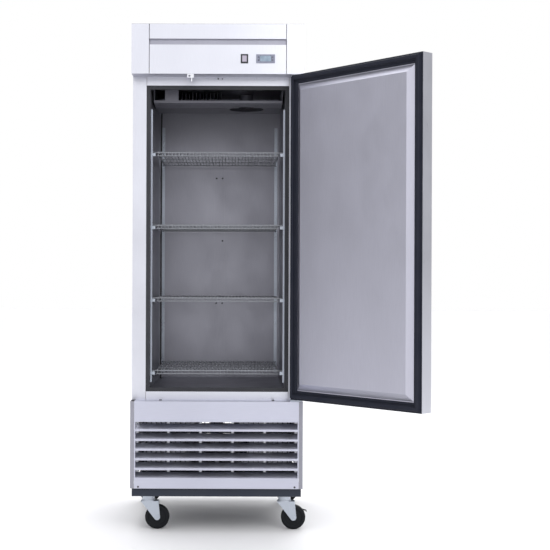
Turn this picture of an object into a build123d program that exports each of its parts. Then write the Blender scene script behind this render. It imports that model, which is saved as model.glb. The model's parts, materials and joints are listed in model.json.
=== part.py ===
from build123d import *
import math
import os

# Reach-in refrigerator on casters, one solid door on the right, standing open.
# Millimetres. +Z up, the front faces -Y, the origin is on the floor under the middle of the cabinet.

# ---- driving dimensions ----
WIDTH = 700.0            # cabinet, side to side
DEPTH = 800.0            # header front to back panel
HEIGHT = 2063.0          # floor to top panel
SHEET = 1.5              # steel sheet
BASE_Z = 145.0           # underside of the base frame
HOUSING_Z = 179.0        # underside of the lower housing
CABINET_Z = 532.0        # underside of the insulated cabinet
HEADER_Z = 1860.0        # underside of the header
FRAME_Y = -319.0         # front of the face frame
FRAME_DEPTH = 14.0
STILE_WIDTH = 56.0
RAIL_Z = 1825.0          # underside of the top rail
SILL_Z = 565.0           # top of the sill
CAVITY_HALF = 278.0      # cavity, half width
CAVITY_BACK = 340.0
CAVITY_Z = (575.0, 1826.0)
DOOR_HALF = 345.0
DOOR_Y = (-388.0, -337.0)
DOOR_Z = (540.0, 1857.0)
DOOR_OPEN = 130.8        # angle of the open door, degrees
HINGE = (334.0, -370.0)  # door pivot, X and Y
PIN_R = 5.0
RUNNING = 0.06           # radial clearance of a shaft in its bore
LINER_RISE = 16.0        # raised panel of the door liner
GROOVE_Z = (1978.0, 2002.0)
POST_WIDTH = 72.0
LOUVRE_PITCH = 39.4
LOUVRE_TOP = 449.0       # top edge of the first louvre opening
LOUVRES = 6
SEAM = 1.2               # gap beside each header post
FRAME_SEAM = 1.6         # gap between a stile and the rail or sill
LOUVRE_SLOPE = 26.0      # depth of a blade's slope
SHELF_Z = (1556.0, 1252.7, 949.4, 646.1)
SHELF_HALF = 254.0
SHELF_Y = (-250.0, 300.0)
SHELF_WIRES = 35
CASTER_X, CASTER_Y = 280.0, 310.0
CASTER_OFFSET = 36.0     # axle from the swivel axis
WHEEL_R, WHEEL_WIDTH = 50.0, 32.0
LEG_Y = WHEEL_WIDTH / 2 + 4      # middle of a fork leg, from the wheel's middle
AXLE_R = 5.0
PEDAL_PIVOT = (42.0, 82.0)       # X and Z from the swivel axis
PEDAL_Y = (24.0, 27.5)
PEDAL_PIN_R = 3.0
SWITCH_X, SWITCH_Z = 107.8, 1921.5
CONTROL_X, CONTROL_Z = 193.3, 1921.5
PLUNGER_X, PLUNGER_Z = 0.7, 1853.0
INLET_X, INLET_Z = -240.0, 222.0
EVAP_Y = (-250.0, 64.0)
EVAP_Z = (1764.0, 1824.0)

HALF = WIDTH / 2
FRONT, BACK = -DEPTH / 2, DEPTH / 2
SKIN_Y = FRONT + SHEET           # back of the front sheets
FRAME_BACK = FRAME_Y + FRAME_DEPTH
INSIDE = HALF - SHEET            # inner face of the outer side panels


def block(x, y, z):
    """A box between two X, two Y and two Z values."""
    centre = Pos((x[0] + x[1]) / 2, (y[0] + y[1]) / 2, (z[0] + z[1]) / 2)
    return centre * Box(x[1] - x[0], y[1] - y[0], z[1] - z[0])


def rod(start, end, radius):
    """A round bar between two points."""
    axis = Vector(*end) - Vector(*start)
    plane = Plane(origin=start, z_dir=axis)
    return extrude(plane * Circle(radius), amount=axis.length)


def post(x, y, z, radius):
    """An upright round bar between two Z values."""
    return rod((x, y, z[0]), (x, y, z[1]), radius)


def both_sides(part):
    """A part and its mirror image across the middle of the cabinet."""
    return [part, mirror(part, about=Plane.YZ)]


def prism_x(points, half):
    """An outline in Y and Z, extruded from -half to half along X."""
    outline = make_face(Polyline(*[(0, y, z) for y, z in points], close=True))
    return extrude(outline, amount=half, dir=(1, 0, 0), both=True)


def save(name, parts):
    """Write one node: a list of separate solids."""
    os.makedirs("parts", exist_ok=True)
    solids = []
    for part in parts:
        solids.extend(part.solids())
    export_step(Compound(children=solids), f"parts/{name}.step")


# ---- lower housing ----
def base_frame():
    """Black channel frame under the housing, with its floor pan."""
    x, y, wall = 344.0, 385.0, 40.0
    z = (BASE_Z, HOUSING_Z - 3)
    front = block((-x, x), (-y, -y + wall), z)
    back = block((-x, x), (y - wall, y), z)
    side = block((x - wall, x), (-y + wall, y - wall), z)
    pan = block((-x, x), (-y, y), (HOUSING_Z - 3, HOUSING_Z))
    save("base_frame", [front, back, pan] + both_sides(side))


def lower_housing():
    """Side panels with their front strips, and the deck over the machinery."""
    side = block((INSIDE, HALF), (FRONT, BACK), (HOUSING_Z, CABINET_Z))
    side += block((334.5, INSIDE), (FRONT, SKIN_Y), (HOUSING_Z, CABINET_Z))
    deck = block((-INSIDE, INSIDE), (FRAME_Y, BACK - SHEET), (CABINET_Z - 3, CABINET_Z))
    save("lower_housing", both_sides(side) + [deck])


def louvre_outline(lip_top, lip_bottom):
    """Section of one blade: a lip at the front and a slope that rises inwards."""
    slope, rise = LOUVRE_SLOPE, 20.5
    return [(FRONT, lip_bottom), (FRONT, lip_top), (FRONT + slope, lip_top + rise),
            (FRONT + slope + 2, lip_top + rise), (FRONT + 2, lip_top), (FRONT + 2, lip_bottom)]


def louvred_grille():
    """Front panel with sloped blades, a plain lower band and a ledge on top."""
    half, blade_half = 334.0, 329.0
    band_top = 222.0
    grille = block((-half, half), (FRONT, FRONT + 2), (LOUVRE_TOP, CABINET_Z))
    grille += block((-half, half), (FRONT, FRAME_Y), (CABINET_Z - 3, CABINET_Z))
    grille += prism_x(louvre_outline(band_top, HOUSING_Z), half)
    for side in (-1, 1):
        x = sorted((side * blade_half, side * half))
        grille += block(x, (FRONT, FRONT + LOUVRE_SLOPE + 2), (HOUSING_Z, LOUVRE_TOP))
    for number in range(LOUVRES - 1):
        lip_top = LOUVRE_TOP - 30 - number * LOUVRE_PITCH
        grille += prism_x(louvre_outline(lip_top, lip_top - 8), blade_half + 1)
    save("louvred_grille", [grille])


def grille_bars():
    """Upright bars that tie the blades together from behind."""
    bars = []
    for x in (65.3, 196.0, 323.0):
        y = FRONT + LOUVRE_SLOPE + 2
        bar = block((x - 5, x + 5), (y, y + 2), (215.0, 470.0))
        bars += both_sides(bar)
    save("grille_bars", bars)


def screw_head(x, y, z, radius, height, direction):
    """A low rounded screw head standing on a face."""
    end = (x + direction[0] * height, y + direction[1] * height, z + direction[2] * height)
    head = rod((x, y, z), end, radius)
    return fillet(head.edges(), height * 0.45)


def panel_screws():
    """Screws of the grille, the ledge, the rear strip, the rail and the back panels."""
    heads = []
    for side in (-1, 1):
        heads.append(screw_head(side * 317, FRONT, 186, 4, 2, (0, -1, 0)))
        heads.append(screw_head(side * 230, -352, CABINET_Z, 6, 3.5, (0, 0, 1)))
        for z in (200, 355, 510):
            heads.append(screw_head(side * 325, BACK, z, 4, 2, (0, 1, 0)))
        for z in (700, 1100, 1500, 1900):
            heads.append(screw_head(side * 338, BACK, z, 4, 2, (0, 1, 0)))
    for x, z in ((22.5, 1500), (22.5, 1209), (22.5, 918), (-22.5, 918), (-22.5, 1500)):
        heads.append(screw_head(x * 0.62, CAVITY_BACK - 3, z, 4, 2, (0, -1, 0)))
    heads.append(screw_head(18, FRAME_Y, 1853, 2.5, 1.5, (0, -1, 0)))
    save("panel_screws", heads)


def rear_vent_panel():
    """Lower back panel with rows of slots."""
    panel = block((-INSIDE, INSIDE), (BACK - SHEET, BACK), (HOUSING_Z, CABINET_Z))
    for row in range(9):
        z = 240 + row * 28
        for x in (-190, 0, 190):
            panel -= block((x - 80, x + 80), (BACK - 5, BACK + 5), (z, z + 9))
    panel -= rod((INLET_X, BACK - 5, INLET_Z), (INLET_X, BACK + 5, INLET_Z), 17)
    save("rear_vent_panel", [panel])


# ---- insulated cabinet ----
def outer_panels():
    """Outer side, back and top sheets."""
    side = block((INSIDE, HALF), (FRAME_BACK, BACK), (CABINET_Z, HEIGHT - SHEET))
    save("outer_side_panels", both_sides(side))
    back = block((-INSIDE, INSIDE), (BACK - SHEET, BACK), (CABINET_Z, HEIGHT - SHEET))
    top = block((-HALF, HALF), (FRONT, BACK), (HEIGHT - SHEET, HEIGHT))
    save("outer_back_and_top", [back, top])


def foam_insulation():
    """Foam slabs between the outer sheets and the liner."""
    low, high = CAVITY_Z[0] - SHEET, CAVITY_Z[1] + SHEET
    liner = CAVITY_HALF + SHEET
    y = (FRAME_BACK, BACK - SHEET)
    side = block((liner, INSIDE), y, (low, high))
    back = block((-liner, liner), (CAVITY_BACK + SHEET, BACK - SHEET), (low, high))
    floor = block((-INSIDE, INSIDE), y, (CABINET_Z, low))
    top = block((-INSIDE, INSIDE), y, (high, 1900))
    save("foam_insulation", both_sides(side) + [back, floor, top])


def inner_liner():
    """Steel walls, floor and ceiling of the cold cavity, and the strip down its back wall."""
    low, high = CAVITY_Z
    wall = CAVITY_HALF
    y = (FRAME_BACK, CAVITY_BACK)
    side = block((wall, wall + SHEET), (y[0], CAVITY_BACK + SHEET), (low, high))
    back = block((-wall, wall), (CAVITY_BACK, CAVITY_BACK + SHEET), (low, high))
    floor = block((-wall - SHEET, wall + SHEET), (y[0], CAVITY_BACK + SHEET), (low - SHEET, low))
    ceiling = block((-wall - SHEET, wall + SHEET), (y[0], CAVITY_BACK + SHEET), (high, high + SHEET))
    strip = block((-24, 24), (CAVITY_BACK - 3, CAVITY_BACK), (600, 1700))
    save("inner_liner", both_sides(side) + [back, floor, ceiling, strip])


def face_frame():
    """Stiles, top rail and sill around the door opening."""
    y = (FRAME_Y, FRAME_BACK)
    inner = HALF - STILE_WIDTH
    stile = block((inner, HALF), y, (CABINET_Z, HEADER_Z))
    span = inner - FRAME_SEAM
    rail = block((-span, span), y, (RAIL_Z, HEADER_Z))
    rail -= rod((PLUNGER_X, FRAME_Y - 1, PLUNGER_Z), (PLUNGER_X, FRAME_Y + 8, PLUNGER_Z), 2.5 + RUNNING)
    sill = block((-span, span), y, (CABINET_Z, SILL_Z))
    save("face_frame", both_sides(stile) + [rail, sill])


def breaker_strips():
    """Black plastic strips that bridge the frame and the liner."""
    inner = HALF - STILE_WIDTH
    width = inner - CAVITY_HALF
    y = (FRAME_Y + 1, FRAME_BACK)
    side = block((CAVITY_HALF, inner), y, (SILL_Z, RAIL_Z))
    top = block((-CAVITY_HALF, CAVITY_HALF), y, (RAIL_Z - width, RAIL_Z))
    bottom = block((-CAVITY_HALF, CAVITY_HALF), y, (SILL_Z, SILL_Z + width))
    save("breaker_strips", both_sides(side) + [top, bottom])


# ---- header ----
def header_panels():
    """Fascia sheets of the header: upper, lower with its cut-outs, and corner posts."""
    half = HALF - POST_WIDTH - SEAM
    y = (FRONT, SKIN_Y)
    upper = block((-half, half), y, (GROOVE_Z[1], HEIGHT - SHEET))
    save("header_panel", [upper])
    lower = block((-half, half), y, (HEADER_Z, GROOVE_Z[0]))
    lower -= block((SWITCH_X - 13, SWITCH_X + 13), (FRONT - 5, SKIN_Y + 5), (SWITCH_Z - 16.5, SWITCH_Z + 16.5))
    lower -= block((CONTROL_X - 35, CONTROL_X + 35), (FRONT - 5, SKIN_Y + 5), (CONTROL_Z - 15, CONTROL_Z + 15))
    save("control_panel", [lower])
    corner = block((HALF - POST_WIDTH + SEAM, INSIDE), y, (HEADER_Z, HEIGHT - SHEET))
    corner += block((INSIDE, HALF), (FRONT, FRAME_BACK), (HEADER_Z, HEIGHT - SHEET))
    save("header_posts", both_sides(corner))


def header_frame():
    """Underside, bulkhead and the recessed channel between the fascias."""
    channel_y = FRONT + 12
    x = (-INSIDE, INSIDE)
    groove_x = (-278, 278)
    under = block(x, (SKIN_Y, FRAME_BACK), (HEADER_Z, HEADER_Z + SHEET))
    bulkhead = block(x, (FRAME_BACK, FRAME_BACK + SHEET), (1900, HEIGHT - SHEET))
    low, high = GROOVE_Z
    channel = block(groove_x, (channel_y, channel_y + SHEET), (low - SHEET, high + SHEET))
    channel += block(groove_x, (SKIN_Y, channel_y), (low - SHEET, low))
    channel += block(groove_x, (SKIN_Y, channel_y), (high, high + SHEET))
    save("header_frame", [under, bulkhead, channel])


def switch_bezel():
    """Flanged frame around the rocker switch."""
    bezel = block((SWITCH_X - 15, SWITCH_X + 15), (FRONT - 3, FRONT), (SWITCH_Z - 18.5, SWITCH_Z + 18.5))
    bezel += block((SWITCH_X - 12.5, SWITCH_X + 12.5), (FRONT, FRONT + 16), (SWITCH_Z - 16, SWITCH_Z + 16))
    bezel -= block((SWITCH_X - 9.5, SWITCH_X + 9.5), (FRONT - 5, FRONT + 14), (SWITCH_Z - 13.2, SWITCH_Z + 13.2))
    pin_y, pin_r = FRONT + 2, 1.5
    bezel -= rod((SWITCH_X - 12, pin_y, SWITCH_Z), (SWITCH_X + 12, pin_y, SWITCH_Z), pin_r + RUNNING)
    save("switch_bezel", [bezel])
    rocker = block((SWITCH_X - 9, SWITCH_X + 9), (FRONT - 4.5, FRONT + 6), (SWITCH_Z - 12.2, SWITCH_Z + 12.2))
    rocker += rod((SWITCH_X - 11.5, pin_y, SWITCH_Z), (SWITCH_X + 11.5, pin_y, SWITCH_Z), pin_r)
    save("rocker_switch", [rocker])


def button_places():
    """X and Z of the four controller buttons."""
    return [(CONTROL_X + dx, CONTROL_Z + dz) for dx in (-28.5, 28.5) for dz in (6.0, -6.0)]


def controller():
    """Digital controller: case with its flange, display lens and four push buttons."""
    case = block((CONTROL_X - 38.2, CONTROL_X + 38.2), (FRONT - 3.5, FRONT),
                 (CONTROL_Z - 17.5, CONTROL_Z + 17.5))
    case += block((CONTROL_X - 34.5, CONTROL_X + 34.5), (FRONT, FRONT + 40),
                  (CONTROL_Z - 14.5, CONTROL_Z + 14.5))
    for x, z in button_places():
        case -= rod((x, FRONT - 6, z), (x, FRONT + 4, z), 3.0)
    save("controller_case", [case])
    lens = block((CONTROL_X - 22, CONTROL_X + 22), (FRONT - 4.3, FRONT - 3.5),
                 (CONTROL_Z - 11, CONTROL_Z + 11))
    save("display_lens", [lens])
    for number, (x, z) in enumerate(button_places(), 1):
        save(f"control_button_{number}", [rod((x, FRONT - 5, z), (x, FRONT + 2.5, z), 2.6)])


def door_switch():
    """Sprung plunger on the top rail that the door presses."""
    start, end = FRAME_Y - 11, FRAME_Y + 2
    save("door_switch_plunger", [rod((PLUNGER_X, start, PLUNGER_Z), (PLUNGER_X, end, PLUNGER_Z), 2.5)])


def lock_catch():
    """Ring plate and hanging pin under the header's front edge."""
    ring = block((-124, -97), (FRONT + 3, FRONT + 9), (1845, HEADER_Z))
    ring -= rod((-115, FRONT, 1852), (-115, FRONT + 12, 1852), 4.5)
    pin = post(-106, FRONT + 6, (1829, 1845), 2.3)
    save("lock_catch", [ring + pin])


# ---- machinery ----
def compressor():
    """Hermetic compressor: domed can on a foot plate with rubber grommets."""
    can = Pos(150, 150, 330) * Cylinder(78, 190)
    can = fillet(can.edges(), 34)
    plate = block((60, 240), (70, 230), (195, 200))
    saddle = post(150, 150, (200, 240), 40)
    feet = [post(x, y, (HOUSING_Z, 195), 12) for x in (75, 225) for y in (85, 215)]
    save("compressor", [can + saddle + plate] + feet)


def condenser():
    """Finned condenser coil behind the grille, its shroud and its fan."""
    y = (-350, -300)
    fins = [block((x, x + 2), y, (205, 485)) for x in range(-290, 291, 20)]
    tubes = [rod((-302, -325, z), (302, -325, z), 5) for z in (235, 290, 345, 400, 455)]
    ends = [block((x, x + 3), y, (200, 490)) for x in (-304, 301)]
    coil = tubes[0]
    for piece in tubes[1:] + fins + ends:
        coil += piece
    save("condenser_coil", [coil])
    shroud = block((-304, 304), (-299, -297), (200, 490))
    shroud -= rod((0, -310, 345), (0, -290, 345), 128)
    shroud += block((-8, 8), (-262, -258), (200, 490)) + block((-8, 8), (-297, -258), (200, 212))
    shroud += block((-8, 8), (-297, -258), (478, 490))
    shroud += rod((0, -258, 345), (0, -200, 345), 38)
    shroud -= rod((0, -300, 345), (0, -240, 345), AXLE_R)
    save("fan_shroud", [shroud])
    save("condenser_fan", [fan((0, -293, 345), (0, 1, 0), 118, 24, 22, 5)])


def fan(origin, axis, radius, hub_r, length, blades):
    """Axial fan: hub, pitched blades and a stub shaft along its axis."""
    rotor = Cylinder(hub_r, length, align=(Align.CENTER, Align.CENTER, Align.MIN))
    for number in range(blades):
        blade = Pos((hub_r + radius) / 2 - 3, 0, length / 2) * (Rot(30, 0, 0)
                * Box(radius - hub_r + 4, radius * 0.52, 1.6))
        rotor += Rot(0, 0, number * 360 / blades) * blade
    envelope = Pos(0, 0, -30) * Cylinder(radius, 120, align=(Align.CENTER, Align.CENTER, Align.MIN))
    rotor = rotor & envelope
    rotor += Pos(0, 0, length) * Cylinder(AXLE_R - RUNNING, 22, align=(Align.CENTER, Align.CENTER, Align.MIN))
    return Plane(origin=origin, z_dir=axis) * rotor


def tube(points, bends, radius):
    """A round tube along straight runs joined by arcs."""
    path = FilletPolyline(*points, radius=bends)
    start = Vector(*points[1]) - Vector(*points[0])
    return sweep(Plane(origin=points[0], z_dir=start) * Circle(radius), path=path)


def machinery_fittings():
    """Refrigerant lines with the filter drier, electrical box with its inlet."""
    line = tube([(150, 60, 470), (150, 40, 505), (-200, 40, 505), (-200, 200, 505)], [15, 40], 4)
    suction = tube([(235, 150, 330), (262, 150, 330), (262, 150, 500), (262, 330, 500)], [12, 60], 6)
    drier = rod((-290, -200, 260), (-290, -80, 260), 14)
    neck = rod((-290, -80, 260), (-290, -50, 260), 5)
    save("refrigerant_lines", [line, suction, drier + neck])
    box = block((-310, -170), (250, 370), (185, 320))
    inlet = rod((INLET_X, 370, INLET_Z), (INLET_X, BACK + 8, INLET_Z), 14)
    inlet -= rod((INLET_X, BACK - 6, INLET_Z), (INLET_X, BACK + 10, INLET_Z), 9)
    save("electrical_box", [box + inlet])


# ---- evaporator ----
def evaporator():
    """Housing under the cavity ceiling, its finned coil and its fan."""
    half = 268.0
    low, high = EVAP_Z
    front, back = EVAP_Y
    pan = block((-half, half), (front, back), (low, low + 2))
    fan_x, fan_y, fan_r = 120.0, -60.0, 74.0
    pan -= post(fan_x, fan_y, (low - 5, low + 5), fan_r)
    for number in range(4):
        y = front + 22 + number * 34
        pan += block((-half, half), (y, y + 3), (low - 3, low))
    pan -= post(fan_x, fan_y, (low - 5, low + 5), fan_r)
    side = block((half - 2, half), (front, back), (low + 2, high))
    lip = block((-half + 2, half - 2), (front, front + 2), (low + 2, low + 10))
    rear = block((-half + 2, half - 2), (back - 2, back), (low + 2, high))
    divider = block((-222, -166), (front, front + 30), (low + 10, high))
    motor = post(fan_x, fan_y, (low + 34, high), 30) - post(fan_x, fan_y, (low + 20, high - 2), AXLE_R)
    save("evaporator_housing", [pan, lip, rear, divider, motor] + both_sides(side))
    coil = rod((-205, -100, low + 20), (15, -100, low + 20), 4)
    coil += rod((-205, -20, low + 20), (15, -20, low + 20), 4)
    for x in range(-200, 11, 15):
        coil += block((x, x + 2), (-160, 20), (low + 5, high - 5))
    save("evaporator_coil", [coil])
    save("evaporator_fan", [fan((fan_x, fan_y, low + 10), (0, 0, 1), 70, 18, 14, 5)])


def drain_hose():
    """Hose from the evaporator down the rear left corner into the cavity floor."""
    points = [(-255, EVAP_Y[1], 1800), (-255, 110, 1800), (-262, 200, 1775), (-266, 240, 1700), (-266, 240, 575)]
    save("drain_hose", [tube(points, [20, 30, 30], 3.5)])


# ---- shelves ----
def pilaster(width, depth, low, high):
    """Slotted shelf standard lying against the plane Y = 0 and facing -Y."""
    strip = block((-width / 2, width / 2), (-depth, 0), (low, high))
    count = int((high - low - 20) // 25.4)
    slots = [block((-2, 2), (-depth - 1, -depth + 2), (low + 12 + n * 25.4, low + 24 + n * 25.4))
             for n in range(count)]
    return strip - slots


def shelf_supports():
    """Four slotted standards and the shelf clips hooked into them."""
    low, high = 598.0, 1735.0
    strip = pilaster(14, 6, low, high)
    front = Pos(CAVITY_HALF, -255, 0) * Rot(0, 0, -90) * strip
    rear = Pos(262, CAVITY_BACK, 0) * strip
    parts = both_sides(front) + both_sides(rear)
    for z in SHELF_Z:
        clip = block((260, CAVITY_HALF - 6), (-260, -250), (z - 16, z - 3.2))
        parts += both_sides(clip)
        rear_clip = block((258, 266), (316, CAVITY_BACK - 6), (z - 16, z - 3.2))
        parts += both_sides(rear_clip)
    save("shelf_supports", parts)


def wire_shelf(z):
    """Coated wire shelf: a rim, a scalloped front, cross rods and close lengthwise wires."""
    front, back = SHELF_Y
    rim, wire = 3.0, 1.7
    rails = [rod((-SHELF_HALF, y, z), (SHELF_HALF, y, z), rim) for y in (front, back)]
    rails += [rod((-SHELF_HALF, y, z - 0.2), (SHELF_HALF, y, z - 0.2), rim) for y in (-110, 30, 170)]
    rails.append(rod((-SHELF_HALF, front - 1, z - 13), (SHELF_HALF, front - 1, z - 13), 2.5))
    for side in (-1, 1):
        rails.append(rod((side * SHELF_HALF, front, z), (side * SHELF_HALF, back, z), rim))
        rails.append(rod((side * (SHELF_HALF - 1), front + 3, z), (side * 270, front - 6, z), 2.5))
        rails.append(rod((side * (SHELF_HALF - 1), back - 3, z), (side * 263, back + 22, z), 2.5))
    pitch = 2 * (SHELF_HALF - 5) / (SHELF_WIRES - 1)
    for number in range(SHELF_WIRES):
        x = -SHELF_HALF + 5 + number * pitch
        rails.append(rod((x, front, z + 3.5), (x, back, z + 3.5), wire))
        rails.append(rod((x, front, z + 3.5), (x, front - 1, z - 13), wire))
    shelf = rails[0].fuse(*rails[1:])
    return shelf


def shelves():
    first = wire_shelf(SHELF_Z[0])
    for number, z in enumerate(SHELF_Z, 1):
        save(f"wire_shelf_{number}", [Pos(0, 0, z - SHELF_Z[0]) * first])


# ---- door ----
def opened(part):
    """Swing a part of the closed door about the hinge pins to the open pose."""
    return Pos(*HINGE, 0) * Rot(0, 0, DOOR_OPEN) * Pos(-HINGE[0], -HINGE[1], 0) * part


def save_door(name, parts):
    save(name, [opened(part) for part in parts])


def raised_panel(inset):
    """Solid under the liner's raised panel, drawn in by an inset."""
    y0, y1 = DOOR_Y[1] - inset, DOOR_Y[1] + LINER_RISE - inset
    middle = (DOOR_Z[0] + DOOR_Z[1]) / 2
    height = DOOR_Z[1] - DOOR_Z[0]
    facing = Plane(origin=(0, y0, middle), x_dir=(1, 0, 0), z_dir=(0, 1, 0))
    base = facing * Rectangle(2 * (306 - inset), height - 2 * (41 + inset))
    top = facing.offset(y1 - y0) * Rectangle(2 * (280 - inset), height - 2 * (67 + inset))
    return loft([base, top], ruled=True)


def door():
    """Steel pan, foam, liner, gasket bars, handle cup, hinge bushes and lock."""
    low, high = DOOR_Z
    front, back = DOOR_Y
    hole = [post(*HINGE, (low - 5, low + 30), 8.5), post(*HINGE, (high - 30, high + 5), 8.5)]
    cup = block((-318, -262), (front, front + 32), (1120, 1290))
    lock_hole = rod((-290, front - 5, 1400), (-290, front + 25, 1400), 11)
    face = block((-DOOR_HALF, DOOR_HALF), (front, front + SHEET), (low, high)) - cup - lock_hole
    inner = DOOR_HALF - SHEET
    edge = block((inner, DOOR_HALF), (front + SHEET, back), (low, high))
    cap = block((-inner, inner), (front + SHEET, back), (high - SHEET, high)) - hole
    sole = block((-inner, inner), (front + SHEET, back), (low, low + SHEET)) - hole
    save_door("door_outer_pan", both_sides(edge) + [face, cap, sole])
    foam_box = block((-inner, inner), (front + SHEET, back - SHEET), (low + SHEET, high - SHEET))
    foam = foam_box - cup - lock_hole - hole + raised_panel(SHEET)
    save_door("door_foam", [foam])
    sheet = block((-inner, inner), (back - SHEET, back), (low + SHEET, high - SHEET)) - hole
    liner = sheet + raised_panel(0) - raised_panel(SHEET)
    save_door("door_liner", [liner])
    handle = cup - block((-315.5, -264.5), (front - 5, front + 29.5), (1122.5, 1287.5))
    rim = block((-326, -254), (front - 2, front), (1112, 1298))
    rim -= block((-315.5, -264.5), (front - 5, front + 5), (1122.5, 1287.5))
    handle += rim
    save_door("door_handle_cup", [handle])
    bushes = [post(*HINGE, z, 8.45) - post(*HINGE, (z[0] - 1, z[1] + 1), PIN_R + RUNNING)
              for z in ((low, low + 30), (high - 30, high))]
    gasket()
    lock_body = rod((-290, front - 4, 1400), (-290, front + 25, 1400), 10.9)
    lock_body -= rod((-290, front - 5, 1400), (-290, front + 20, 1400), 8 + RUNNING)
    save_door("hinge_bushes_and_lock_body", bushes + [lock_body])
    plug = rod((-290, front - 5, 1400), (-290, front + 18, 1400), 8)
    plug -= block((-290.8, -289.2), (front - 6, front + 2), (1395, 1405))
    save_door("lock_cylinder", [plug])


def gasket():
    """Four bars of magnetic gasket: a flange and a hollow-looking bead."""
    low, high = DOOR_Z
    y = DOOR_Y[1]
    inner, outer = 307.0, DOOR_HALF
    bead_in, bead_out = 314.0, 337.0
    flange, bead = (y, y + 3), (y + 3, y + 16)
    side = block((inner, outer), flange, (low, high))
    side += block((bead_in, bead_out), bead, (low + 8, high - 8))
    bars = both_sides(side)
    for z0, z1, b0, b1 in ((low, low + 38, low + 8, low + 31), (high - 38, high, high - 31, high - 8)):
        bar = block((-inner, inner), flange, (z0, z1))
        bar += block((-bead_in, bead_in), bead, (b0, b1))
        bars.append(bar)
    save_door("door_gasket", bars)


def hinge_brackets():
    """Bracket plates with their pins, under and over the door."""
    low, high = DOOR_Z
    lower = block((300, 348), (-392, FRAME_Y), (CABINET_Z, CABINET_Z + 5))
    lower += post(*HINGE, (CABINET_Z + 5, low + 24), PIN_R)
    lower += post(*HINGE, (CABINET_Z + 5, low - 0.5), 10)
    upper = block((300, 348), (-392, FRAME_Y), (HEADER_Z - 2.2, HEADER_Z))
    upper += post(*HINGE, (high - 24, HEADER_Z), PIN_R)
    save("hinge_brackets", [lower, upper])


# ---- casters ----
def caster_places():
    """Name and swivel position of each caster."""
    places = [("front_left", -1, -1), ("front_right", 1, -1), ("rear_left", -1, 1), ("rear_right", 1, 1)]
    return [(name, sx * CASTER_X, sy * CASTER_Y) for name, sx, sy in places]


def plate_xz(points, y):
    """A flat plate from its X and Z outline, between two Y values."""
    outline = make_face(Polyline(*[(x, y[0], z) for x, z in points], close=True))
    return extrude(outline, amount=y[1] - y[0], dir=(0, 1, 0))


def fork_leg(side):
    """Tapered leg with a round end at the axle and a raised flat along its straight edge."""
    axle = CASTER_OFFSET
    inner, outer = sorted((side * (LEG_Y - 1.5), side * (LEG_Y + 1.5)))
    web = plate_xz([(-30, 115), (42, 115), (axle + 12.5, WHEEL_R), (axle - 12.5, WHEEL_R - 4)], (inner, outer))
    web += rod((axle, inner, WHEEL_R), (axle, outer, WHEEL_R), 12.5)
    inner, outer = sorted((side * LEG_Y, side * (LEG_Y + 2.7)))
    flat = plate_xz([(17, 112), (41, 112), (axle + 11, WHEEL_R), (axle - 11, WHEEL_R)], (inner, outer))
    return web + flat + rod((axle, inner, WHEEL_R), (axle, outer, WHEEL_R), 11)


def caster_fork():
    """Swivelling fork with its crown, kingpin, axle and nuts."""
    fork = block((-30, 42), (-LEG_Y - 1.5, LEG_Y + 1.5), (112, 116))
    fork += fork_leg(-1) + fork_leg(1)
    fork += post(0, 0, (116, 121), 27)
    fork += post(0, 0, (121, 138), 9)
    axle = CASTER_OFFSET
    fork += rod((axle, -LEG_Y - 8, WHEEL_R), (axle, LEG_Y + 8, WHEEL_R), AXLE_R)
    for side in (-1, 1):
        fork += rod((axle, side * (LEG_Y + 1), WHEEL_R), (axle, side * (LEG_Y + 6), WHEEL_R), 7)
    return fork


def caster_wheel():
    """Solid wheel: rounded tread and a hub with side rings."""
    wheel = Pos(CASTER_OFFSET, 0, WHEEL_R) * Rot(90, 0, 0) * Cylinder(WHEEL_R, WHEEL_WIDTH)
    wheel = fillet(wheel.edges(), 5)
    for side in (-1, 1):
        ring = Cylinder(38, 4) - Cylinder(22, 4)
        wheel -= Pos(CASTER_OFFSET, side * WHEEL_WIDTH / 2, WHEEL_R) * Rot(90, 0, 0) * ring
        wheel += Pos(CASTER_OFFSET, side * (WHEEL_WIDTH / 2 + 1), WHEEL_R) * Rot(90, 0, 0) * Cylinder(15, 2.4)
    bore = rod((CASTER_OFFSET, -40, WHEEL_R), (CASTER_OFFSET, 40, WHEEL_R), AXLE_R + RUNNING)
    return wheel - bore


def brake_pedal():
    """Lever behind the fork, with a foot tab across the tread."""
    x, z = PEDAL_PIVOT
    lever = plate_xz([(x, z + 6), (x, z - 6), (92, 70), (92, 74)], PEDAL_Y)
    lever += rod((x, PEDAL_Y[0], z), (x, PEDAL_Y[1], z), 6)
    lever -= rod((x, PEDAL_Y[0] - 5, z), (x, PEDAL_Y[1] + 5, z), PEDAL_PIN_R + RUNNING)
    return lever + block((88.5, 92), (4, PEDAL_Y[1]), (70, 74))


def brake_pin():
    """Headed pin on the far leg that carries the brake pedal."""
    x, z = PEDAL_PIVOT
    pin = rod((x, LEG_Y, z), (x, PEDAL_Y[1] + 2, z), PEDAL_PIN_R)
    return pin + rod((x, PEDAL_Y[1] + 0.4, z), (x, PEDAL_Y[1] + 2, z), 5)


def casters():
    """Four casters; the front right one carries a brake pedal."""
    fork, wheel, pedal = caster_fork(), caster_wheel(), brake_pedal()
    braked_fork = fork + brake_pin()
    plates = []
    for name, x, y in caster_places():
        here = Pos(x, y, 0) * Rot(0, 0, 180 if name == "rear_left" else 0)
        braked = name == "front_right"
        save(f"caster_fork_{name}", [here * (braked_fork if braked else fork)])
        if braked:
            save(f"brake_pedal_{name}", [here * pedal])
        save(f"caster_wheel_{name}", [here * wheel])
        plate = block((x - 48, x + 48), (y - 38, y + 38), (139, BASE_Z))
        plate += post(x, y, (121.3, 139), 25)
        plate -= post(x, y, (121, 138.5), 9 + RUNNING)
        plates.append(plate)
    save("caster_plates", plates)


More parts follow.
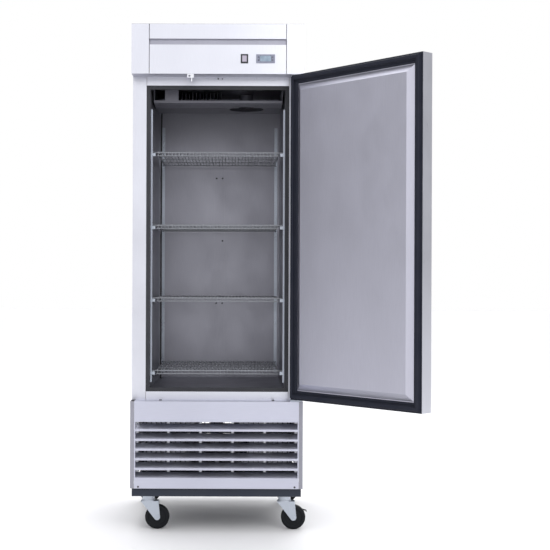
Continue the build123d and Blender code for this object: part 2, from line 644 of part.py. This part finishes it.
def main():
    for build in (base_frame, lower_housing, louvred_grille, grille_bars, panel_screws, rear_vent_panel,
                  outer_panels, foam_insulation, inner_liner, face_frame, breaker_strips,
                  header_panels, header_frame, switch_bezel, controller, door_switch, lock_catch,
                  compressor, condenser, machinery_fittings, evaporator, drain_hose,
                  shelf_supports, shelves, door, hinge_brackets, casters):
        build()


main()
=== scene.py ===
import json
import math

import bmesh
import bpy
from mathutils import Matrix, Vector


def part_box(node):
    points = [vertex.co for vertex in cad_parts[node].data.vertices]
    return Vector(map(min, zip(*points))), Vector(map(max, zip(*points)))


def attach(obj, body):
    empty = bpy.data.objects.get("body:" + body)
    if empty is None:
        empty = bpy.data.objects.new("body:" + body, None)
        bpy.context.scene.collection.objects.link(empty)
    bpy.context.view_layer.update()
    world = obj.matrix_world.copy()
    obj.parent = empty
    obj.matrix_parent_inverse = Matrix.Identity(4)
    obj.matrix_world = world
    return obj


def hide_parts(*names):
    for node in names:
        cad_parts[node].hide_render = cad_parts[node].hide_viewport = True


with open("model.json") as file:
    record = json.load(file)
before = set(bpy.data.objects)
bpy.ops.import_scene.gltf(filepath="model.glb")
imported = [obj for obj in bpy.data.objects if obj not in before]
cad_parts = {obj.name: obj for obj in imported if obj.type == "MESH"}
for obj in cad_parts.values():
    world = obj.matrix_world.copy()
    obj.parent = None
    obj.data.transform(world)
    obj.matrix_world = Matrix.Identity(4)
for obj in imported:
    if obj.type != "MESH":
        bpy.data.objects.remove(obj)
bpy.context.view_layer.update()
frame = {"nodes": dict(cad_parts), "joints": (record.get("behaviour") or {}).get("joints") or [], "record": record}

MM = 0.001

# Camera: where it stands, its focal length, its small roll and the shift of its axis.
CAMERA_PLACE = (0.0698, -5.2655, 1.0141)
CAMERA_LENS = 78.62
CAMERA_ROLL = math.radians(0.217)
CAMERA_SHIFT = (0.0741, 0.014)
SENSOR_WIDTH = 36.0

# Studio: the point the lights face, and the floor's half width.
LIT_POINT = (0.1, -0.2, 1.1)
FLOOR_HALF = 40

# Door seal: the door's half width, its Z range and the back face that the gasket sits on.
DOOR_HALF = 0.345
DOOR_Z = (0.540, 1.857)
DOOR_BACK_Y = -0.337


# ---- node helpers ----
def new_material(name):
    """A fresh node material and its Principled shader."""
    material = bpy.data.materials.new(name)
    material.use_nodes = True
    return material, material.node_tree, material.node_tree.nodes["Principled BSDF"]


def noise(tree, scale, stretch=(1, 1, 1), detail=4.0, offset=(0, 0, 0)):
    """Noise over the object's own coordinates, stretched along its axes."""
    coords = tree.nodes.new("ShaderNodeTexCoord")
    mapping = tree.nodes.new("ShaderNodeMapping")
    mapping.inputs["Scale"].default_value = stretch
    mapping.inputs["Location"].default_value = offset
    texture = tree.nodes.new("ShaderNodeTexNoise")
    texture.inputs["Scale"].default_value = scale
    texture.inputs["Detail"].default_value = detail
    tree.links.new(coords.outputs["Object"], mapping.inputs["Vector"])
    tree.links.new(mapping.outputs["Vector"], texture.inputs["Vector"])
    return texture.outputs["Fac"]


def remap(tree, value, low, high, start=0.3, end=0.7):
    """A value moved from one range to another, clamped."""
    node = tree.nodes.new("ShaderNodeMapRange")
    node.inputs["From Min"].default_value = start
    node.inputs["From Max"].default_value = end
    node.inputs["To Min"].default_value = low
    node.inputs["To Max"].default_value = high
    tree.links.new(value, node.inputs["Value"])
    return node.outputs["Result"]


def mix_colour(tree, factor, first, second):
    """Blend of two colours, each a tuple or a socket."""
    node = tree.nodes.new("ShaderNodeMix")
    node.data_type = "RGBA"
    tree.links.new(factor, node.inputs["Factor"])
    for socket, value in ((node.inputs[6], first), (node.inputs[7], second)):
        if isinstance(value, tuple):
            socket.default_value = (*value, 1.0)
        else:
            tree.links.new(value, socket)
    return node.outputs[2]


def edge_mask(tree, radius):
    """1 along the edges of a shape and 0 on its faces."""
    bevel = tree.nodes.new("ShaderNodeBevel")
    bevel.inputs["Radius"].default_value = radius
    geometry = tree.nodes.new("ShaderNodeNewGeometry")
    dot = tree.nodes.new("ShaderNodeVectorMath")
    dot.operation = "DOT_PRODUCT"
    tree.links.new(bevel.outputs["Normal"], dot.inputs[0])
    tree.links.new(geometry.outputs["True Normal"], dot.inputs[1])
    return remap(tree, dot.outputs["Value"], 1.0, 0.0, start=0.8, end=0.99)


def bump(tree, shader, heights):
    """Adds height fields, each (value, strength, distance), to a shader's normal."""
    previous = None
    for value, strength, distance in heights:
        node = tree.nodes.new("ShaderNodeBump")
        node.inputs["Strength"].default_value = strength
        node.inputs["Distance"].default_value = distance
        tree.links.new(value, node.inputs["Height"])
        if previous is not None:
            tree.links.new(previous, node.inputs["Normal"])
        previous = node.outputs["Normal"]
    tree.links.new(previous, shader.inputs["Normal"])


def scaled(colour, factor):
    return tuple(min(1.0, channel * factor) for channel in colour)


# ---- materials ----
def steel(name, colour, rough, grain=(1.0, 1.0, 0.02), grain_depth=0.12, smudge=0.10, metallic=1.0):
    """Brushed sheet steel: fine grain, drifting tone, hand smudges and brighter edges."""
    material, tree, shader = new_material(name)
    fine = noise(tree, 900, grain, detail=3)
    drift = noise(tree, 2.2, (1, 1, 0.6), detail=3)
    smudges = noise(tree, 11, (1, 1, 0.7), detail=6, offset=(3, 1, 7))
    edges = edge_mask(tree, 0.0012)
    base = mix_colour(tree, remap(tree, drift, 0, 1), scaled(colour, 0.94), scaled(colour, 1.03))
    base = mix_colour(tree, remap(tree, fine, 0, 0.5), base, scaled(colour, 0.88))
    base = mix_colour(tree, edges, base, scaled(colour, 1.12))
    tree.links.new(base, shader.inputs["Base Color"])
    roughness = tree.nodes.new("ShaderNodeMath")
    roughness.operation = "ADD"
    tree.links.new(remap(tree, smudges, rough, rough + smudge), roughness.inputs[0])
    tree.links.new(remap(tree, fine, -0.04, 0.05), roughness.inputs[1])
    tree.links.new(roughness.outputs[0], shader.inputs["Roughness"])
    shader.inputs["Metallic"].default_value = metallic
    bump(tree, shader, [(drift, 0.06, 0.004), (fine, grain_depth, 0.0002)])
    return material


def paint(name, colour, rough, peel=0.10, wear=None, metallic=0.0, speckle=0.06):
    """Coated metal: orange peel, dust in the tone and rubbed edges."""
    material, tree, shader = new_material(name)
    skin = noise(tree, 420, detail=2)
    dust = noise(tree, 9, (1, 1, 0.5), detail=6)
    darker, lighter = scaled(colour, 1 - speckle), scaled(colour, 1 + speckle)
    base = mix_colour(tree, remap(tree, dust, 0, 1), darker, lighter)
    if wear is not None:
        chips = tree.nodes.new("ShaderNodeMath")
        chips.operation = "MULTIPLY"
        tree.links.new(edge_mask(tree, 0.0016), chips.inputs[0])
        tree.links.new(remap(tree, noise(tree, 60, detail=5), 0, 1, 0.45, 0.6), chips.inputs[1])
        base = mix_colour(tree, chips.outputs[0], base, wear)
    tree.links.new(base, shader.inputs["Base Color"])
    tree.links.new(remap(tree, dust, rough, rough + 0.16), shader.inputs["Roughness"])
    shader.inputs["Metallic"].default_value = metallic
    bump(tree, shader, [(skin, peel, 0.0003), (dust, 0.05, 0.001)])
    return material


def galvanised(name, colour):
    """Zinc-coated sheet with its crystal pattern."""
    material, tree, shader = new_material(name)
    coords = tree.nodes.new("ShaderNodeTexCoord")
    cells = tree.nodes.new("ShaderNodeTexVoronoi")
    cells.inputs["Scale"].default_value = 90
    tree.links.new(coords.outputs["Object"], cells.inputs["Vector"])
    tone = tree.nodes.new("ShaderNodeSeparateColor")
    tree.links.new(cells.outputs["Color"], tone.inputs["Color"])
    drift = noise(tree, 5, detail=4)
    base = mix_colour(tree, tone.outputs[0], scaled(colour, 0.82), scaled(colour, 1.1))
    base = mix_colour(tree, remap(tree, drift, 0, 0.4), base, scaled(colour, 0.75))
    tree.links.new(base, shader.inputs["Base Color"])
    tree.links.new(remap(tree, tone.outputs[0], 0.32, 0.5, 0, 1), shader.inputs["Roughness"])
    shader.inputs["Metallic"].default_value = 0.9
    bump(tree, shader, [(drift, 0.1, 0.002), (tone.outputs[0], 0.06, 0.0003)])
    return material


def plastic(name, colour, rough, texture=0.2, scale=700, wear=0.25, coat=0.0, specular=0.5):
    """Moulded plastic or rubber: fine spark texture, dusty patches and paler edges."""
    material, tree, shader = new_material(name)
    grain = noise(tree, scale, detail=3)
    dust = noise(tree, 14, detail=5)
    pale = tuple(channel + (1 - channel) * wear * 0.5 for channel in colour)
    base = mix_colour(tree, remap(tree, dust, 0, 0.35), colour, pale)
    base = mix_colour(tree, edge_mask(tree, 0.0007), base, pale)
    tree.links.new(base, shader.inputs["Base Color"])
    tree.links.new(remap(tree, grain, rough - 0.06, rough + 0.08), shader.inputs["Roughness"])
    shader.inputs["Coat Weight"].default_value = coat
    shader.inputs["Specular IOR Level"].default_value = specular
    bump(tree, shader, [(grain, texture, 0.0003), (dust, 0.05, 0.001)])
    return material


def display(name):
    """Smoked display window: a dark cell pattern under a clear face."""
    material, tree, shader = new_material(name)
    cells = noise(tree, 500, (1, 1, 3), detail=1)
    glow = noise(tree, 60, detail=2)
    base = mix_colour(tree, remap(tree, glow, 0, 1), (0.21, 0.28, 0.36), (0.30, 0.38, 0.47))
    base = mix_colour(tree, remap(tree, cells, 0, 0.3), base, (0.12, 0.17, 0.22))
    tree.links.new(base, shader.inputs["Base Color"])
    tree.links.new(remap(tree, glow, 0.08, 0.2), shader.inputs["Roughness"])
    shader.inputs["Coat Weight"].default_value = 0.6
    bump(tree, shader, [(glow, 0.03, 0.0005)])
    return material


def foam(name):
    """Cut rigid foam: open cells and a mottled yellow."""
    material, tree, shader = new_material(name)
    cells = tree.nodes.new("ShaderNodeTexVoronoi")
    cells.inputs["Scale"].default_value = 400
    patches = noise(tree, 12, detail=5)
    base = mix_colour(tree, remap(tree, patches, 0, 1), (0.78, 0.66, 0.38), (0.88, 0.80, 0.55))
    tree.links.new(base, shader.inputs["Base Color"])
    tree.links.new(remap(tree, patches, 0.8, 0.95), shader.inputs["Roughness"])
    bump(tree, shader, [(cells.outputs["Distance"], 0.4, 0.001)])
    return material


def build_materials():
    """One material for each of the record's slots."""
    bare = (0.42, 0.41, 0.40)
    return {
        "outer_steel": steel("outer_steel", (0.70, 0.71, 0.765), 0.30),
        "liner_steel": steel("liner_steel", (0.56, 0.56, 0.64), 0.36, smudge=0.08),
        # cavity_steel is the same stainless liner as liner_steel in a darker copy: painted shade for the dimly lit
        # inside of the cabinet
        "cavity_steel": steel("cavity_steel", (0.33, 0.33, 0.37), 0.38, smudge=0.10),
        "header_dark": steel("header_dark", (0.40, 0.40, 0.46), 0.42),
        "zinc_steel": steel("zinc_steel", (0.48, 0.52, 0.58), 0.26, grain=(1, 1, 1), grain_depth=0.06),
        "bright_chrome": steel("bright_chrome", (0.80, 0.81, 0.84), 0.10, grain=(1, 1, 1), grain_depth=0.02,
                               smudge=0.14),
        "coil_aluminium": steel("coil_aluminium", (0.40, 0.40, 0.42), 0.36, smudge=0.2),
        "copper": steel("copper", (0.66, 0.32, 0.19), 0.30, grain=(1, 1, 1), grain_depth=0.05, smudge=0.25),
        "galvanised": galvanised("galvanised", (0.50, 0.51, 0.54)),
        "black_frame": paint("black_frame", (0.009, 0.015, 0.030), 0.48, wear=bare),
        "grey_housing": paint("grey_housing", (0.28, 0.28, 0.32), 0.36, wear=bare, metallic=0.35),
        "grille_paint": steel("grille_paint", (0.56, 0.57, 0.66), 0.36, grain=(0.02, 1, 1)),
        "dark_screw": paint("dark_screw", (0.05, 0.05, 0.055), 0.32, wear=bare, metallic=0.8),
        "shelf_coating": paint("shelf_coating", (0.24, 0.25, 0.27), 0.30, wear=(0.5, 0.5, 0.52),
                               metallic=0.5),
        "foam": foam("foam"),
        "black_plastic": plastic("black_plastic", (0.008, 0.009, 0.014), 0.5, wear=0.06),
        "housing_grey": plastic("housing_grey", (0.085, 0.085, 0.105), 0.45, wear=0.08),
        "rocker_plastic": plastic("rocker_plastic", (0.38, 0.34, 0.42), 0.28, texture=0.05, coat=0.2),
        "case_plastic": plastic("case_plastic", (0.22, 0.23, 0.30), 0.42, wear=0.1),
        "display_glass": display("display_glass"),
        "button_plastic": plastic("button_plastic", (0.09, 0.10, 0.14), 0.45, wear=0.1),
        "hose_rubber": plastic("hose_rubber", (0.012, 0.012, 0.014), 0.55, wear=0.05),
        "gasket_rubber": plastic("gasket_rubber", (0.010, 0.012, 0.022), 0.55, wear=0.03, specular=0.2),
        "wheel_rubber": plastic("wheel_rubber", (0.004, 0.005, 0.007), 0.6, scale=500, wear=0.02,
                                specular=0.2),
    }


def dress_nodes(materials):
    """Gives every CAD node its slot's material."""
    for part in frame["record"]["subparts"]:
        node = frame["nodes"][part["node"]]
        for place in node.material_slots:
            place.material = materials[part["material_slot"]]


def soften_edges():
    """Small folded radii on the sheet-metal and plastic nodes."""
    radii = {"header_posts": 0.6, "header_panel": 0.6, "control_panel": 0.6, "louvred_grille": 0.5,
             "lower_housing": 0.6, "face_frame": 1.0, "breaker_strips": 1.5, "door_outer_pan": 0.5,
             "base_frame": 1.5, "switch_bezel": 0.8, "rocker_switch": 1.0, "controller_case": 0.9,
             "evaporator_housing": 0.6, "door_handle_cup": 0.8, "hinge_brackets": 0.8}
    for name, radius in radii.items():
        modifier = frame["nodes"][name].modifiers.new("edge", "BEVEL")
        modifier.width = radius * MM
        modifier.segments = 2
        modifier.limit_method = "ANGLE"
        modifier.angle_limit = math.radians(40)
        modifier.harden_normals = False


# ---- pieces ----
def finish_piece(name, mesh_data, material, body):
    """Links a mesh as a piece in a slot's material that rides on a body."""
    mesh = bpy.data.meshes.new(name)
    mesh_data.to_mesh(mesh)
    mesh_data.free()
    mesh.materials.append(material)
    piece = bpy.data.objects.new(name, mesh)
    bpy.context.scene.collection.objects.link(piece)
    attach(piece, body)
    return piece


def door_matrix():
    """Closed pose to the open rest pose of the door."""
    hinge = next(joint for joint in frame["joints"] if joint["name"] == "door_hinge")
    pivot = Vector(hinge["pos_m"])
    angle = -math.radians(hinge["range_deg"][0])
    return Matrix.Translation(pivot) @ Matrix.Rotation(angle, 4, "Z") @ Matrix.Translation(-pivot)


def gasket_section():
    """Outline of the gasket across its width: distance inwards from the door's edge, and height."""
    base = [(0.0, 0.0), (0.0, 1.8), (2.5, 3.0), (6.5, 3.4)]
    bead = [(7.5, 8.0), (8.2, 14.2), (10.0, 15.8), (13.5, 16.0), (18.5, 16.0), (21.0, 15.4), (22.4, 13.6)]
    fold = [(22.0, 11.0), (19.6, 9.0), (20.4, 6.4), (24.0, 4.6)]
    lip = [(28.0, 3.8), (29.6, 5.2), (31.4, 5.6), (33.2, 4.8), (34.4, 2.6), (37.6, 1.6), (38.0, 0.0)]
    return base + bead + fold + lip


def door_gasket(materials):
    """Magnetic gasket as one mitred ring with a bead, a bellows fold and an inner lip."""
    half, (low, high) = DOOR_HALF, DOOR_Z
    turn = door_matrix()
    mesh = bmesh.new()
    rings = []
    for inward, height in gasket_section():
        corners = [(-half + inward * MM, low + inward * MM), (half - inward * MM, low + inward * MM),
                   (half - inward * MM, high - inward * MM), (-half + inward * MM, high - inward * MM)]
        rings.append([mesh.verts.new(turn @ Vector((x, DOOR_BACK_Y + height * MM, z))) for x, z in corners])
    count = len(rings)
    for number in range(count):
        first, second = rings[number], rings[(number + 1) % count]
        for corner in range(4):
            after = (corner + 1) % 4
            mesh.faces.new((first[corner], first[after], second[after], second[corner]))
    bmesh.ops.recalc_face_normals(mesh, faces=mesh.faces)
    piece = finish_piece("gasket_profile", mesh, materials["gasket_rubber"], "door")
    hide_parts("door_gasket")


def wheel_profile():
    """Half section of a caster wheel: radius against distance from the middle, in millimetres."""
    tread = [(49.2, 12.5), (50.0, 10.0), (50.0, 0.0)]
    side = [(5.2, 18.0), (12.5, 18.0), (14.6, 16.6), (15.4, 14.2), (20.0, 13.2), (34.5, 13.0), (36.0, 14.6),
            (37.2, 15.9), (44.5, 15.6), (47.8, 14.4)]
    half = side + tread
    return half + [(radius, -across) for radius, across in reversed(half[:-1])]


def lathe(mesh, profile, centre, segments=72):
    """Turns a closed profile about a line along Y through a centre."""
    rings = []
    for step in range(segments):
        angle = 2 * math.pi * step / segments
        turned = [Vector((radius * math.cos(angle), across, radius * math.sin(angle)))
                  for radius, across in profile]
        rings.append([mesh.verts.new(centre + point) for point in turned])
    count = len(profile)
    for step in range(segments):
        first, second = rings[step], rings[(step + 1) % segments]
        for number in range(count):
            after = (number + 1) % count
            mesh.faces.new((first[number], first[after], second[after], second[number]))
    bmesh.ops.recalc_face_normals(mesh, faces=mesh.faces)


def caster_wheels(materials):
    """Moulded wheels with a crowned tread, a stepped side and a raised hub."""
    profile = [(radius * MM, across * MM) for radius, across in wheel_profile()]
    for place in ("front_left", "front_right", "rear_left", "rear_right"):
        node = f"caster_wheel_{place}"
        low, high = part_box(node)
        centre = (Vector(low) + Vector(high)) / 2
        mesh = bmesh.new()
        lathe(mesh, profile, centre)
        piece = finish_piece(f"wheel_{place}", mesh, materials["wheel_rubber"], node)
        for face in piece.data.polygons:
            face.use_smooth = True
        modifier = piece.modifiers.new("edge", "BEVEL")
        modifier.width = 0.4 * MM
        modifier.segments = 2
        modifier.limit_method = "ANGLE"
        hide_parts(node)


def swept_bar(mesh, points, radius, sides=8):
    """Round bar along a line of points, closed at both ends."""
    rings = []
    for number, point in enumerate(points):
        before, after = points[max(number - 1, 0)], points[min(number + 1, len(points) - 1)]
        along = (after - before).normalized()
        across = along.orthogonal().normalized()
        up = along.cross(across)
        ring = []
        for side in range(sides):
            angle = 2 * math.pi * side / sides
            ring.append(mesh.verts.new(point + radius * (math.cos(angle) * across + math.sin(angle) * up)))
        rings.append(ring)
    for first, second in zip(rings, rings[1:]):
        for side in range(sides):
            after = (side + 1) % sides
            mesh.faces.new((first[side], first[after], second[after], second[side]))
    mesh.faces.new(rings[0])
    mesh.faces.new(reversed(rings[-1]))
    bmesh.ops.recalc_face_normals(mesh, faces=mesh.faces)


def controller_arcs(materials):
    """Curved ridges on the controller face, one each side of the display."""
    low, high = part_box("display_lens")
    middle = (Vector(low) + Vector(high)) / 2
    face_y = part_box("controller_case")[0][1]
    reach, half_height, bow = 24.5 * MM, 13.5 * MM, 5.0 * MM
    mesh = bmesh.new()
    for side in (-1, 1):
        points = []
        for step in range(13):
            along = -1 + 2 * step / 12
            x = middle.x + side * (reach - bow * along * along)
            points.append(Vector((x, face_y, middle.z + half_height * along)))
        swept_bar(mesh, points, 0.7 * MM)
    finish_piece("controller_arcs", mesh, materials["button_plastic"], "cabinet")


# ---- stage ----
def add_floor():
    """Matt pale floor with a faint drift in its tone."""
    mesh = bmesh.new()
    bmesh.ops.create_grid(mesh, x_segments=1, y_segments=1, size=FLOOR_HALF)
    data = bpy.data.meshes.new("floor")
    mesh.to_mesh(data)
    mesh.free()
    floor = bpy.data.objects.new("floor", data)
    material, tree, shader = new_material("floor")
    tone = noise(tree, 0.6, detail=2)
    base = mix_colour(tree, tone, (0.84, 0.84, 0.84), (0.86, 0.86, 0.86))
    tree.links.new(base, shader.inputs["Base Color"])
    shader.inputs["Roughness"].default_value = 0.7
    data.materials.append(material)
    bpy.context.scene.collection.objects.link(floor)


def add_light(name, place, size, power):
    """Square soft light that faces the lit point."""
    data = bpy.data.lights.new(name, "AREA")
    data.shape = "SQUARE"
    data.size = size
    data.energy = power
    light = bpy.data.objects.new(name, data)
    light.location = place
    light.rotation_euler = (Vector(LIT_POINT) - Vector(place)).to_track_quat("-Z", "Y").to_euler()
    bpy.context.scene.collection.objects.link(light)


def add_world():
    """White backdrop, lit by surroundings that are dimmer towards the sides and below."""
    world = bpy.data.worlds.new("studio")
    world.use_nodes = True
    tree = world.node_tree
    surroundings = tree.nodes["Background"]
    coords = tree.nodes.new("ShaderNodeTexCoord")
    parts = tree.nodes.new("ShaderNodeSeparateXYZ")
    tree.links.new(coords.outputs["Generated"], parts.inputs["Vector"])
    sideways = tree.nodes.new("ShaderNodeMath")
    sideways.operation = "ABSOLUTE"
    tree.links.new(parts.outputs["X"], sideways.inputs[0])
    height = remap(tree, parts.outputs["Z"], 0.30, 1.40, -0.12, 0.22)
    facing = remap(tree, sideways.outputs[0], 1.0, 0.42, 0.35, 0.95)
    level = tree.nodes.new("ShaderNodeMath")
    level.operation = "MULTIPLY"
    tree.links.new(height, level.inputs[0])
    tree.links.new(facing, level.inputs[1])
    surroundings.inputs["Color"].default_value = (0.97, 0.97, 1.0, 1.0)
    tree.links.new(level.outputs[0], surroundings.inputs["Strength"])
    backdrop = tree.nodes.new("ShaderNodeBackground")
    backdrop.inputs["Color"].default_value = (1.0, 1.0, 1.0, 1.0)
    path = tree.nodes.new("ShaderNodeLightPath")
    choice = tree.nodes.new("ShaderNodeMixShader")
    tree.links.new(path.outputs["Is Camera Ray"], choice.inputs["Fac"])
    tree.links.new(surroundings.outputs[0], choice.inputs[1])
    tree.links.new(backdrop.outputs[0], choice.inputs[2])
    tree.links.new(choice.outputs[0], tree.nodes["World Output"].inputs["Surface"])
    bpy.context.scene.world = world


def add_lights():
    """A soft key from the right, a weak fill, and light from above and behind."""
    add_light("key", (2.4, -4.8, 3.4), size=2.4, power=55)
    add_light("fill", (-3.6, -3.8, 2.4), size=2.6, power=15)
    add_light("top", (0.0, 0.6, 4.6), size=3.0, power=60)
    add_light("back", (1.5, 4.5, 2.8), size=3.0, power=60)


def add_camera():
    """Camera square to the cabinet's front, a little to its right."""
    data = bpy.data.cameras.new("camera")
    data.lens = CAMERA_LENS
    data.sensor_width = SENSOR_WIDTH
    data.shift_x, data.shift_y = CAMERA_SHIFT
    data.clip_end = 100.0
    camera = bpy.data.objects.new("camera", data)
    facing = Matrix.Rotation(math.radians(90), 4, "X") @ Matrix.Rotation(CAMERA_ROLL, 4, "Z")
    camera.matrix_world = Matrix.Translation(CAMERA_PLACE) @ facing
    bpy.context.scene.collection.objects.link(camera)
    bpy.context.scene.camera = camera


def main():
    materials = build_materials()
    dress_nodes(materials)
    soften_edges()
    door_gasket(materials)
    caster_wheels(materials)
    controller_arcs(materials)
    add_floor()
    add_world()
    add_lights()
    add_camera()
    bpy.context.scene.view_settings.view_transform = "Standard"


main()
